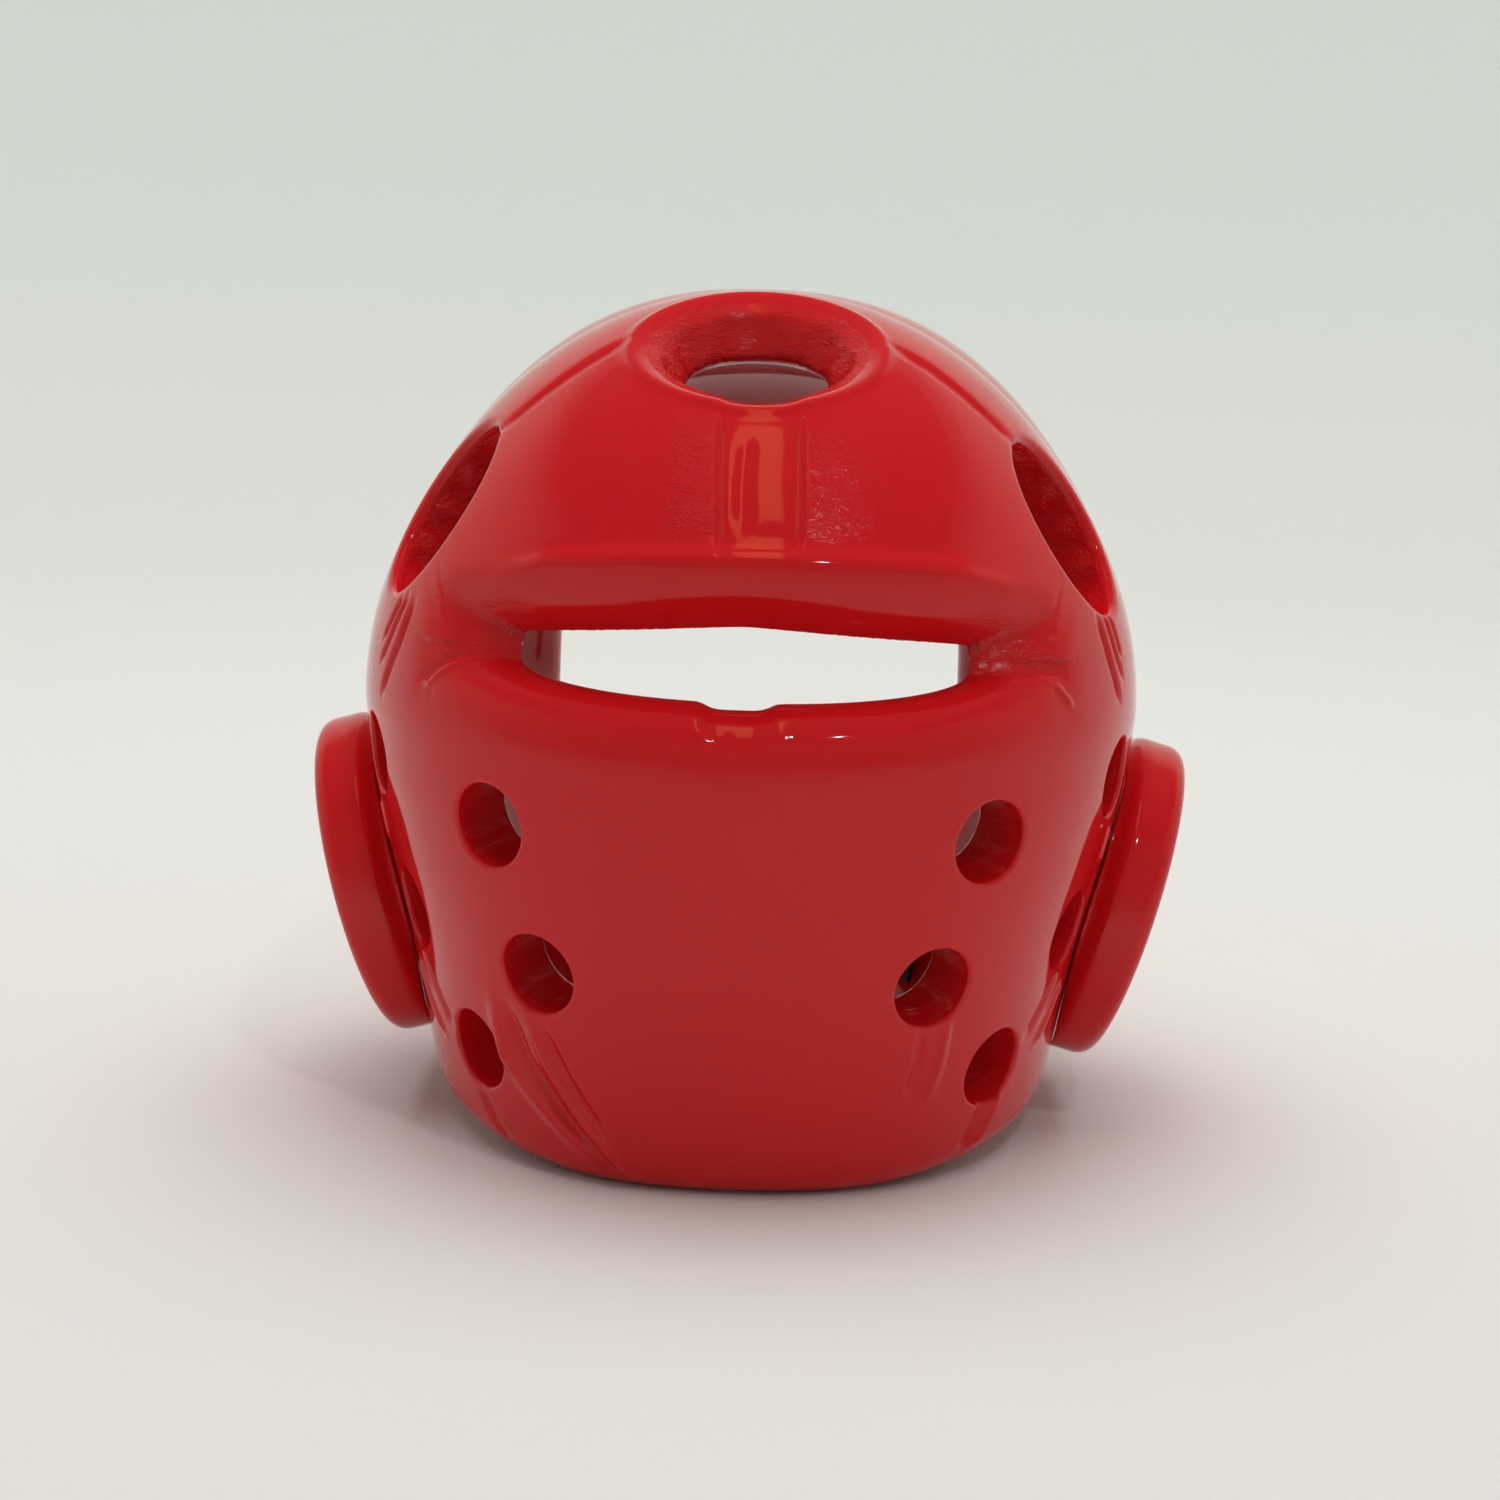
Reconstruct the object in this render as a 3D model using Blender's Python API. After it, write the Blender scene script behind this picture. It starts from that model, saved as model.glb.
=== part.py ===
"""Sparring head guard of dipped foam: a padded shell with an open face, two ear cups and a chin strap.

Metres, +Z up. The guard stands on its lower rim at Z = 0, its nape towards -Y and its open face towards +Y.
A place on the shell is given by its azimuth, 0 degrees at the nape and 90 over the +X ear, and by its height.
"""

import math

import bmesh
import bpy
from mathutils import Matrix, Vector

# Shell
SHELL_WIDTH = 0.222
SHELL_DEPTH = 0.250
SHELL_HEIGHT = 0.237
DOME_RISE = 0.115
SHOULDER_PULL = 0.035
BROW_FULLNESS = 0.6
PLAN_POWER = 2.2
WALL = 0.019
RIM_ROUND = 0.005
RIM_LIFT = 0.007

# Sections under the widest one: the share of that section's height, then the half-width, the reach to the
# nape and the reach to the face as shares of half the shell's width and depth.
LOWER_SECTIONS = (
    # height, width, nape, face
    (0.00, 0.775, 0.800, 0.880),
    (0.15, 0.815, 0.845, 0.920),
    (0.32, 0.850, 0.890, 0.950),
    (0.48, 0.890, 0.930, 0.970),
    (0.66, 0.940, 0.965, 0.985),
    (0.84, 0.980, 0.990, 0.995),
    (1.00, 1.000, 1.000, 1.000),
)

# Lift of the lower rim: azimuth in degrees and share of RIM_LIFT. It is flat under the nape and the cheeks.
RIM_SECTIONS = (
    # azimuth, lift
    (0.0, 0.0),
    (26.0, 0.0),
    (60.0, 0.7),
    (85.0, 1.0),
    (105.0, 0.7),
    (125.0, 0.0),
    (180.0, 0.0),
)

# Round holes of the nape guard on the +X side; the -X side mirrors them
NAPE_HOLE_RADIUS = 0.0112
NAPE_HOLES = (
    # azimuth in degrees, height as a share of the shell's height
    (68.0, 0.455),
    (35.0, 0.418),
    (62.0, 0.280),
    (28.5, 0.252),
    (46.0, 0.134),
)

# Crown hole, a funnel that leans back from the crown
CROWN_HOLE_RADIUS = 0.0365
CROWN_HOLE_INNER_RADIUS = 0.0210
CROWN_HOLE_LEAN = 23.5
CROWN_FUNNEL_DEPTH = 0.015

# Side vents of the dome, each a large oval
SIDE_VENT_LENGTH = 0.052
SIDE_VENT_WIDTH = 0.046
SIDE_VENT_AZIMUTH = 67.0
SIDE_VENT_HEIGHT = 0.750

# Slot across the back, and the rolled lips that widen it towards the outside. A power under 1 makes an edge
# blunt towards its ends, and one over 1 makes it a shallow V.
SLOT_WIDTH = 0.118
SLOT_RISE = 0.009
SLOT_FALL = 0.012
SLOT_HEIGHT = 0.611
SLOT_TOP_POWER = 0.5
SLOT_BOTTOM_POWER = 1.4
LIP_SIDE = 0.020
LIP_RISE = 0.021
LIP_FALL = 0.015
LIP_DEPTH = 0.014
LIP_TOP_POWER = 0.7
LIP_BOTTOM_POWER = 1.1

# Open face in the front view: heights, and half-widths as shares of half the face's width
FACE_WIDTH = 0.118
BROW_HEIGHT = 0.170
FACE_FLARE = 0.020
FACE_OUTLINE = (
    # height as a share of the brow's, half-width
    (-0.12, 0.66),
    (0.10, 0.68),
    (0.28, 0.78),
    (0.45, 0.94),
    (0.60, 1.00),
    (0.78, 0.97),
    (0.92, 0.78),
    (1.00, 0.36),
)

# Ear cups
CUP_RADIUS = 0.0475
CUP_THICKNESS = 0.0165
CUP_ROUND = 0.005
CUP_TILT = 16.0
CUP_HEIGHT = 0.274
CUP_AZIMUTH = 91.0
CUP_STAND = -0.001
CUP_NECK_INSET = 0.004
CUP_DISH = 0.004
CUP_DISH_RADIUS = 0.027
EAR_HOLE_RADIUS = 0.011

# Chin strap
STRAP_WIDTH = 0.025
STRAP_THICKNESS = 0.0022
STRAP_HEIGHT = 0.030
STRAP_SPREAD = 46.0
TAB_LENGTH = 0.050
TAB_THICKNESS = 0.0018

# Clearance between pieces that touch, how far cuts run past what they cut, and mesh fineness
SEAT_GAP = 0.0003
OVERRUN = 0.014
SHELL_COLUMNS = 64
DOME_ROWS = 9
ROUND_SIDES = 16
CUP_SIDES = 32
STRAP_STEPS = 16

SIDES = (("left", -1), ("right", 1))
WIDEST = SHELL_HEIGHT - DOME_RISE


def clear_scene():
    for item in list(bpy.data.objects):
        bpy.data.objects.remove(item, do_unlink=True)


def principled(name, colour, roughness, coat=0.0):
    material = bpy.data.materials.new(name)
    material.use_nodes = True
    shader = material.node_tree.nodes["Principled BSDF"]
    shader.inputs["Base Color"].default_value = (*colour, 1.0)
    shader.inputs["Roughness"].default_value = roughness
    shader.inputs["Metallic"].default_value = 0.0
    shader.inputs["Coat Weight"].default_value = coat
    return material


def new_object(name, mesh_data, material=None):
    """Object with consistent outward faces, made from a bmesh."""
    bmesh.ops.recalc_face_normals(mesh_data, faces=mesh_data.faces)
    mesh = bpy.data.meshes.new(name)
    mesh_data.to_mesh(mesh)
    mesh_data.free()
    item = bpy.data.objects.new(name, mesh)
    bpy.context.scene.collection.objects.link(item)
    if material:
        mesh.materials.append(material)
    return item


def read_table(table, place, column):
    """Value of a table's column at a place in its first column, on a straight line between rows."""
    for low, high in zip(table, table[1:]):
        if place <= high[0]:
            share = max(0.0, (place - low[0]) / (high[0] - low[0]))
            return low[column] + share * (high[column] - low[column])
    return table[-1][column]


def signed_power(value, power):
    return math.copysign(abs(value) ** power, value)


def plan_point(azimuth, half_width, nape_reach, face_reach):
    """Point of a horizontal section: half of one oval towards the nape and half of another to the face."""
    angle = math.radians(azimuth)
    across = signed_power(math.sin(angle), 2.0 / PLAN_POWER)
    along = signed_power(math.cos(angle), 2.0 / PLAN_POWER)
    reach = nape_reach if along > 0 else face_reach
    return half_width * across, -reach * along


def wall_point(azimuth, height, offset=0.0):
    """Point of the wall under the widest section, offset from the outer skin."""
    share = height / WIDEST
    half_width = SHELL_WIDTH / 2 * read_table(LOWER_SECTIONS, share, 1) + offset
    nape_reach = SHELL_DEPTH / 2 * read_table(LOWER_SECTIONS, share, 2) + offset
    face_reach = SHELL_DEPTH / 2 * read_table(LOWER_SECTIONS, share, 3) + offset
    x, y = plan_point(azimuth, half_width, nape_reach, face_reach)
    return Vector((x, y, height))


def towards_face(azimuth):
    """1 straight over the face, falling to 0 at the ears and behind them."""
    return max(0.0, -math.cos(math.radians(azimuth)))


def dome_power(azimuth):
    """The dome is a round arch, fuller over the brow."""
    return 2.0 + BROW_FULLNESS * towards_face(azimuth)


def dome_point(azimuth, elevation, offset=0.0):
    """Point of the dome at an elevation, 0 degrees at the widest section and 90 at the crown."""
    angle = math.radians(elevation)
    power = 2.0 / dome_power(azimuth)
    rise = (DOME_RISE + offset) * math.sin(angle) ** power
    pull = SHOULDER_PULL * (1.0 - towards_face(azimuth)) * math.sin(2.0 * angle) ** 2
    share = max(0.0, math.cos(angle)) ** power * (1.0 - pull)
    half_width = SHELL_WIDTH / 2 + offset
    reach = SHELL_DEPTH / 2 + offset
    x, y = plan_point(azimuth, half_width * share, reach * share, reach * share)
    return Vector((x, y, WIDEST + rise))


def skin_point(azimuth, height, offset=0.0):
    """Point of the shell's skin at an azimuth and a height."""
    if height <= WIDEST:
        return wall_point(azimuth, height, offset)
    share = min(1.0, (height - WIDEST) / (DOME_RISE + offset))
    elevation = math.degrees(math.asin(share ** (dome_power(azimuth) / 2.0)))
    return dome_point(azimuth, elevation, offset)


def skin_frame(azimuth, height):
    """Point of the outer skin with its outward normal, its horizontal tangent and its upward tangent."""
    step = 0.5
    place = skin_point(azimuth, height)
    across = skin_point(azimuth + step, height) - skin_point(azimuth - step, height)
    rise = WALL / 8
    upward = skin_point(azimuth, height + rise) - skin_point(azimuth, height - rise)
    across.normalize()
    normal = across.cross(upward).normalized()
    if normal.dot(Vector((place.x, place.y, max(0.0, height - WIDEST)))) < 0:
        normal.negate()
    return place, normal, across, normal.cross(across).normalized()


def rim_lift(azimuth):
    folded = abs((azimuth + 180.0) % 360.0 - 180.0)
    return RIM_LIFT * read_table(RIM_SECTIONS, folded, 1)


def skin_ring(data, row, offset):
    """Ring of vertices of a skin. Rows count from 0 at the rim's rounding to 1 at the widest section."""
    ring = []
    for column in range(SHELL_COLUMNS):
        azimuth = 360.0 * column / SHELL_COLUMNS
        low = rim_lift(azimuth) + RIM_ROUND
        ring.append(data.verts.new(wall_point(azimuth, low + row * (WIDEST - low), offset)))
    return ring


def rim_ring(data, rise, offset):
    """Ring of vertices of the rounded lower rim, at a rise above its lowest line."""
    ring = []
    for column in range(SHELL_COLUMNS):
        azimuth = 360.0 * column / SHELL_COLUMNS
        ring.append(data.verts.new(wall_point(azimuth, rim_lift(azimuth) + rise, offset)))
    return ring


def bridge(data, ring_a, ring_b):
    count = len(ring_a)
    for index in range(count):
        following = (index + 1) % count
        data.faces.new((ring_a[index], ring_a[following], ring_b[following], ring_b[index]))


def cap_with_fan(data, ring, centre):
    tip = data.verts.new(centre)
    for index, vert in enumerate(ring):
        data.faces.new((vert, ring[(index + 1) % len(ring)], tip))


def dome_and_wall(data, offset):
    """Rings of one skin from the crown's fan down to the rim's rounding. Returns the lowest ring."""
    rings = []
    for row in range(DOME_ROWS - 1, 0, -1):
        elevation = 90.0 * row / DOME_ROWS
        columns = [360.0 * column / SHELL_COLUMNS for column in range(SHELL_COLUMNS)]
        rings.append([data.verts.new(dome_point(azimuth, elevation, offset)) for azimuth in columns])
    cap_with_fan(data, rings[0], (0.0, 0.0, SHELL_HEIGHT + offset))
    for height, *_ in reversed(LOWER_SECTIONS):
        rings.append(skin_ring(data, height, offset))
    for upper, lower in zip(rings, rings[1:]):
        bridge(data, upper, lower)
    return rings[-1]


def padded_shell(material):
    """Shell before its openings are cut: outer skin, inner skin and a rim with rounded edges."""
    data = bmesh.new()
    outer = dome_and_wall(data, 0.0)
    inner = dome_and_wall(data, -WALL)
    corner = 0.3 * RIM_ROUND
    profile = (
        (corner, -corner),
        (0.0, -RIM_ROUND),
        (0.0, RIM_ROUND - WALL),
        (corner, corner - WALL),
    )
    rings = [outer] + [rim_ring(data, rise, offset) for rise, offset in profile] + [inner]
    for upper, lower in zip(rings, rings[1:]):
        bridge(data, upper, lower)
    return new_object("shell", data, material)


def shell_plug(offset):
    """Solid form of the shell's outside, grown by an offset, to seat other pieces against."""
    data = bmesh.new()
    lowest = dome_and_wall(data, offset)
    foot = rim_ring(data, -OVERRUN, offset)
    bridge(data, lowest, foot)
    cap_with_fan(data, foot, (0.0, 0.0, -OVERRUN))
    return cutter("shell_plug", data)


def cutter(name, data):
    item = new_object(name, data)
    item.hide_render = True
    item.display_type = "WIRE"
    return item


def lofted_cutter(name, outlines):
    """Closed cutter through a list of outlines with equal point counts."""
    data = bmesh.new()
    rings = [[data.verts.new(point) for point in outline] for outline in outlines]
    for ring_a, ring_b in zip(rings, rings[1:]):
        bridge(data, ring_a, ring_b)
    for ring in (rings[0], rings[-1]):
        centre = sum((vert.co for vert in ring), Vector()) / len(ring)
        cap_with_fan(data, ring, centre)
    return cutter(name, data)


def round_outline(place, axis, radius, sides):
    """Points of a circle about a place, square to an axis."""
    turn = axis.to_track_quat("Z", "Y")
    angles = [2.0 * math.pi * index / sides for index in range(sides)]
    return [place + turn @ Vector((radius * math.cos(a), radius * math.sin(a), 0.0)) for a in angles]


def cut(target, tool):
    """Boolean difference that stays on the target as a modifier."""
    modifier = target.modifiers.new("cut " + tool.name, "BOOLEAN")
    modifier.operation = "DIFFERENCE"
    modifier.solver = "EXACT"
    modifier.object = tool


def nape_hole_cutters():
    tools = []
    for number, (azimuth, height) in enumerate(NAPE_HOLES):
        for side_name, side in SIDES:
            place, normal, _, _ = skin_frame(side * azimuth, height * SHELL_HEIGHT)
            reaches = (OVERRUN, -WALL - OVERRUN)
            outlines = [round_outline(place + normal * r, normal, NAPE_HOLE_RADIUS, ROUND_SIDES) for r in reaches]
            tools.append(lofted_cutter(f"nape_hole_{number}_{side_name}", outlines))
    return tools


def crown_hole_cutter():
    """Funnel: wide at the outer skin, then narrow through the rest of the wall."""
    lean = math.radians(CROWN_HOLE_LEAN)
    axis = Vector((0.0, -math.sin(lean), math.cos(lean)))
    elevation = 90.0 - CROWN_HOLE_LEAN
    place = dome_point(0.0, elevation)
    profile = (
        (OVERRUN, CROWN_HOLE_RADIUS),
        (-WALL / 4, CROWN_HOLE_RADIUS),
        (-CROWN_FUNNEL_DEPTH, CROWN_HOLE_INNER_RADIUS),
        (-WALL - 2 * OVERRUN, CROWN_HOLE_INNER_RADIUS),
    )
    outlines = [round_outline(place + axis * reach, axis, radius, 2 * ROUND_SIDES) for reach, radius in profile]
    return lofted_cutter("crown_hole", outlines)


def side_vent_cutters():
    """Oval on each side of the dome, cut straight in along the skin's normal."""
    tools = []
    for side_name, side in SIDES:
        place, normal, across, upward = skin_frame(side * SIDE_VENT_AZIMUTH, SIDE_VENT_HEIGHT * SHELL_HEIGHT)
        outlines = []
        for reach in (OVERRUN, -WALL - OVERRUN):
            outline = []
            for index in range(ROUND_SIDES):
                angle = 2.0 * math.pi * index / ROUND_SIDES
                along = upward * (SIDE_VENT_LENGTH / 2 * math.cos(angle))
                aside = across * (SIDE_VENT_WIDTH / 2 * math.sin(angle))
                outline.append(place + normal * reach + along + aside)
            outlines.append(outline)
        tools.append(lofted_cutter("side_vent_" + side_name, outlines))
    return tools


def slot_outline(out):
    """Lens in the rear view, from the slot itself at 0 to the outer edge of its lips at 1."""
    level = SLOT_HEIGHT * SHELL_HEIGHT
    side_reach = SLOT_WIDTH / 2 + LIP_SIDE * out
    top_power = SLOT_TOP_POWER + (LIP_TOP_POWER - SLOT_TOP_POWER) * out
    bottom_power = SLOT_BOTTOM_POWER + (LIP_BOTTOM_POWER - SLOT_BOTTOM_POWER) * out
    points = []
    for index in range(2 * ROUND_SIDES):
        angle = math.pi * index / ROUND_SIDES
        if index < ROUND_SIDES:
            lift = (SLOT_RISE + LIP_RISE * out) * math.sin(angle) ** top_power
        else:
            lift = -(SLOT_FALL + LIP_FALL * out) * abs(math.sin(angle)) ** bottom_power
        points.append(Vector((side_reach * math.cos(angle), 0.0, level + lift)))
    return points


def slot_cutter():
    """Slot with rolled lips: it widens outwards over the lips' depth and follows the curve of the back."""
    inner, middle, outer = slot_outline(0.0), slot_outline(0.35), slot_outline(1.0)
    half_width = SHELL_WIDTH / 2
    reach = skin_point(0.0, SLOT_HEIGHT * SHELL_HEIGHT).y

    def follow(outline, depth):
        """Moves an outline onto the curve of the back, at a depth under the outer skin."""
        moved = []
        for point in outline:
            share = min(0.999, abs(point.x) / half_width)
            y = reach * (1.0 - share ** PLAN_POWER) ** (1.0 / PLAN_POWER)
            moved.append(Vector((point.x, y + depth, point.z)))
        return moved

    def flatten(outline, y):
        return [Vector((point.x, y, point.z)) for point in outline]

    rings = [
        flatten(outer, -SHELL_DEPTH / 2 - OVERRUN),
        follow(outer, 0.0),
        follow(middle, LIP_DEPTH / 2),
        follow(inner, LIP_DEPTH),
        flatten(inner, reach / 3),
    ]
    return lofted_cutter("slot", rings)


def face_outline(y, grow):
    """Closed outline of the open face at a depth, grown sideways and a little upwards."""
    points = []
    for side, rows in ((1, FACE_OUTLINE), (-1, tuple(reversed(FACE_OUTLINE)))):
        for height, width in rows:
            x = side * (FACE_WIDTH / 2 * width + grow)
            lift = grow / 4 if height > 0.9 else 0.0
            points.append(Vector((x, y, BROW_HEIGHT * height + lift)))
    return points


def face_cutter():
    """Cuts the face free in front of the ears. It flares through the wall, so the cheeks end square."""
    edge = skin_point(180.0, BROW_HEIGHT).y
    rings = [
        face_outline(edge / 4, 0.0),
        face_outline(edge - 2 * WALL, 0.0),
        face_outline(edge, FACE_FLARE),
        face_outline(SHELL_DEPTH / 2 + OVERRUN, FACE_FLARE),
    ]
    return lofted_cutter("open_face", rings)


def cup_frame(side):
    """Centre of an ear cup's back plane on the shell and the axis that it faces along."""
    place, _, _, _ = skin_frame(side * CUP_AZIMUTH, CUP_HEIGHT * SHELL_HEIGHT)
    tilt = math.radians(CUP_TILT)
    axis = Vector((side * math.cos(tilt), 0.0, -math.sin(tilt)))
    return place + axis * CUP_STAND, axis


def ear_hole_cutter(side_name, side):
    place, axis = cup_frame(side)
    reaches = (CUP_THICKNESS + OVERRUN, -WALL - OVERRUN)
    outlines = [round_outline(place + axis * r, axis, EAR_HOLE_RADIUS, ROUND_SIDES) for r in reaches]
    return lofted_cutter("ear_hole_" + side_name, outlines)


def ear_cup(side_name, side, material, plug):
    """Round drum on a narrower neck that follows the shell, dished outside, with an ear hole through it."""
    place, axis = cup_frame(side)
    neck = CUP_RADIUS - CUP_NECK_INSET
    corner = 0.3 * CUP_ROUND
    front = CUP_THICKNESS
    profile = (
        (EAR_HOLE_RADIUS, -WALL),
        (EAR_HOLE_RADIUS, front - CUP_DISH),
        (CUP_DISH_RADIUS - CUP_DISH, front - CUP_DISH),
        (CUP_DISH_RADIUS, front),
        (CUP_RADIUS - CUP_ROUND, front),
        (CUP_RADIUS - corner, front - corner),
        (CUP_RADIUS, front - CUP_ROUND),
        (CUP_RADIUS, corner),
        (CUP_RADIUS - corner, 0.0),
        (neck, 0.0),
        (neck, -WALL),
    )
    data = bmesh.new()
    rings = []
    for radius, reach in profile:
        outline = round_outline(place + axis * reach, axis, radius, CUP_SIDES)
        rings.append([data.verts.new(point) for point in outline])
    for ring_a, ring_b in zip(rings, rings[1:] + rings[:1]):
        bridge(data, ring_a, ring_b)
    item = new_object("ear_cup_" + side_name, data, material)
    cut(item, plug)
    return item


def band(name, material, height, width, spread, offset, thickness, steps):
    """Flat band that follows the inner skin round the front, centred on the chin."""
    data = bmesh.new()
    rings = []
    for step in range(steps + 1):
        azimuth = 180.0 + spread * (2.0 * step / steps - 1.0)
        corners = ((-0.5, 0.0), (0.5, 0.0), (0.5, -thickness), (-0.5, -thickness))
        section = [wall_point(azimuth, height + width * rise, offset + depth) for rise, depth in corners]
        rings.append([data.verts.new(point) for point in section])
    for ring_a, ring_b in zip(rings, rings[1:]):
        bridge(data, ring_a, ring_b)
    data.faces.new(rings[0])
    data.faces.new(rings[-1])
    return new_object(name, data, material)


def chin_strap(webbing, hook_tape):
    """Elastic band from cheek to cheek inside the shell, with a closing tab over its middle."""
    seat = -WALL - SEAT_GAP
    band("chin_strap", webbing, STRAP_HEIGHT, STRAP_WIDTH, STRAP_SPREAD, seat, STRAP_THICKNESS, STRAP_STEPS)
    tab_spread = math.degrees(TAB_LENGTH / 2 / abs(wall_point(180.0, STRAP_HEIGHT, seat).y))
    tab_seat = seat + SEAT_GAP + TAB_THICKNESS
    band("strap_tab", hook_tape, STRAP_HEIGHT, STRAP_WIDTH, tab_spread, tab_seat, TAB_THICKNESS, STRAP_STEPS // 4)


def centre_on_floor():
    """Moves every piece so that the whole guard is centred in X and Y."""
    bpy.context.view_layer.update()
    depsgraph = bpy.context.evaluated_depsgraph_get()
    pieces = [item for item in bpy.data.objects if not item.hide_render]
    corners = []
    for item in pieces:
        evaluated = item.evaluated_get(depsgraph)
        corners += [evaluated.matrix_world @ vert.co for vert in evaluated.data.vertices]
    middle = [(min(c[axis] for c in corners) + max(c[axis] for c in corners)) / 2 for axis in (0, 1)]
    shift = Matrix.Translation((-middle[0], -middle[1], 0.0))
    for item in bpy.data.objects:
        item.data.transform(shift)


def shade(item):
    item.data.shade_smooth()
    item.data.set_sharp_from_angle(angle=math.radians(38.0))


def main():
    clear_scene()
    vinyl = principled("red vinyl skin", (0.62, 0.012, 0.016), 0.12, coat=1.0)
    webbing = principled("black elastic webbing", (0.018, 0.018, 0.020), 0.85)
    hook_tape = principled("black hook tape", (0.012, 0.012, 0.013), 0.95)

    shell = padded_shell(vinyl)
    plug = shell_plug(SEAT_GAP)
    for tool in [face_cutter(), crown_hole_cutter(), slot_cutter()] + side_vent_cutters() + nape_hole_cutters():
        cut(shell, tool)
    for side_name, side in SIDES:
        cut(shell, ear_hole_cutter(side_name, side))
        ear_cup(side_name, side, vinyl, plug)
    chin_strap(webbing, hook_tape)
    centre_on_floor()
    for item in bpy.data.objects:
        if not item.hide_render:
            shade(item)


main()
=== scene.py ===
"""Looks of a sparring head guard of glossy dipped foam, seen from behind on a pale table.

The padded pieces start as a fine skin over their solids. Every point of that skin is then drawn onto a smooth
form, worked out as a signed distance in metres, that has the guard's rounded edges, rolled lips and folds.
A place on the shell is given by its azimuth, 0 degrees at the nape and 90 over the +X ear, and its height.
"""

import math

import bmesh
import bpy
import numpy as np
from mathutils import Matrix, Vector


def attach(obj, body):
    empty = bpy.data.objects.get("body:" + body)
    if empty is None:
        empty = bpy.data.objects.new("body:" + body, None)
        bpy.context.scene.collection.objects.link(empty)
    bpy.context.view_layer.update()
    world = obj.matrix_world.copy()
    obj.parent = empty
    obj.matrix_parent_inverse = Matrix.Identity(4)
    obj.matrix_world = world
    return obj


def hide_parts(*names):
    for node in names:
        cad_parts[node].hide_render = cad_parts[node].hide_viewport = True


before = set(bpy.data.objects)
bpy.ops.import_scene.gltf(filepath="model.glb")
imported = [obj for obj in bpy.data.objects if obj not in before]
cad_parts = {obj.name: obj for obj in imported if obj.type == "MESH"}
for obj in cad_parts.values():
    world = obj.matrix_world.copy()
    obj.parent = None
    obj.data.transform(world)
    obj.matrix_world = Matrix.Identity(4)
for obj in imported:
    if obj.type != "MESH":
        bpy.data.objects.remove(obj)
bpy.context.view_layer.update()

# Shell, the sizes of its solid
SHELL_WIDTH = 0.222
SHELL_DEPTH = 0.250
SHELL_HEIGHT = 0.237
DOME_RISE = 0.115
WIDEST = SHELL_HEIGHT - DOME_RISE
SHOULDER_PULL = 0.035
BROW_FULLNESS = 0.6
PLAN_POWER = 2.2
WALL = 0.019
RIM_LIFT = 0.007
NAPE_SHIFT = 0.0033

LOWER_SECTIONS = np.array((
    # height, width, nape, face
    (0.00, 0.775, 0.800, 0.880),
    (0.15, 0.815, 0.845, 0.920),
    (0.32, 0.850, 0.890, 0.950),
    (0.48, 0.890, 0.930, 0.970),
    (0.66, 0.940, 0.965, 0.985),
    (0.84, 0.980, 0.990, 0.995),
    (1.00, 1.000, 1.000, 1.000),
))
RIM_SECTIONS = np.array((
    # azimuth, lift
    (0.0, 0.0),
    (26.0, 0.0),
    (60.0, 0.7),
    (85.0, 1.0),
    (105.0, 0.7),
    (125.0, 0.0),
    (180.0, 0.0),
))

# Openings
NAPE_HOLE_RADIUS = 0.0112
NAPE_HOLES = (
    # azimuth, height as a share of the shell's
    (68.0, 0.455),
    (35.0, 0.418),
    (62.0, 0.280),
    (28.5, 0.252),
    (46.0, 0.134),
)
CROWN_HOLE_RADIUS = 0.0365
CROWN_HOLE_INNER_RADIUS = 0.0180
CROWN_HOLE_LEAN = 23.5
CROWN_FUNNEL_DEPTH = 0.018
CROWN_NOTCH_WIDTH = 0.010
CROWN_NOTCH_DEPTH = 0.0020
SIDE_VENT_LENGTH = 0.052
SIDE_VENT_WIDTH = 0.046
SIDE_VENT_AZIMUTH = 67.0
SIDE_VENT_HEIGHT = 0.750
SLOT_WIDTH = 0.118
SLOT_RISE = 0.009
SLOT_FALL = 0.0098
SLOT_HEIGHT = 0.611
SLOT_TOP_POWER = 0.10
SLOT_BOTTOM_POWER = 0.27
SLOT_ROOF = 0.48
SLOT_NOTCH_HALF = 0.0085
SLOT_NOTCH_DEPTH = 0.0018
LIP_SIDE = 0.024
LIP_RISE = 0.012
LIP_FALL = 0.0172
LIP_DEPTH = 0.014
LIP_TOP_POWER = 0.18
LIP_BOTTOM_POWER = 0.55
FACE_WIDTH = 0.118
BROW_HEIGHT = 0.170
FACE_FLARE = 0.020
FACE_OUTLINE = np.array((
    # height as a share of the brow's, half-width
    (-0.12, 0.66),
    (0.10, 0.68),
    (0.28, 0.78),
    (0.45, 0.94),
    (0.60, 1.00),
    (0.78, 0.97),
    (0.92, 0.78),
    (1.00, 0.36),
    (1.04, 0.00),
))

# Ear cups
CUP_RADIUS = 0.0475
CUP_THICKNESS = 0.0165
CUP_TILT = 16.0
CUP_HEIGHT = 0.274
CUP_AZIMUTH = 91.0
CUP_STAND = -0.001
CUP_NECK_INSET = 0.004
CUP_DISH = 0.004
CUP_DISH_RADIUS = 0.027
EAR_HOLE_RADIUS = 0.011

# Chin strap
STRAP_WIDTH = 0.025
STRAP_THICKNESS = 0.0022
STRAP_HEIGHT = 0.030
STRAP_SPREAD = 46.0
TAB_LENGTH = 0.050
TAB_THICKNESS = 0.0018
SEAT_GAP = 0.0003

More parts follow.
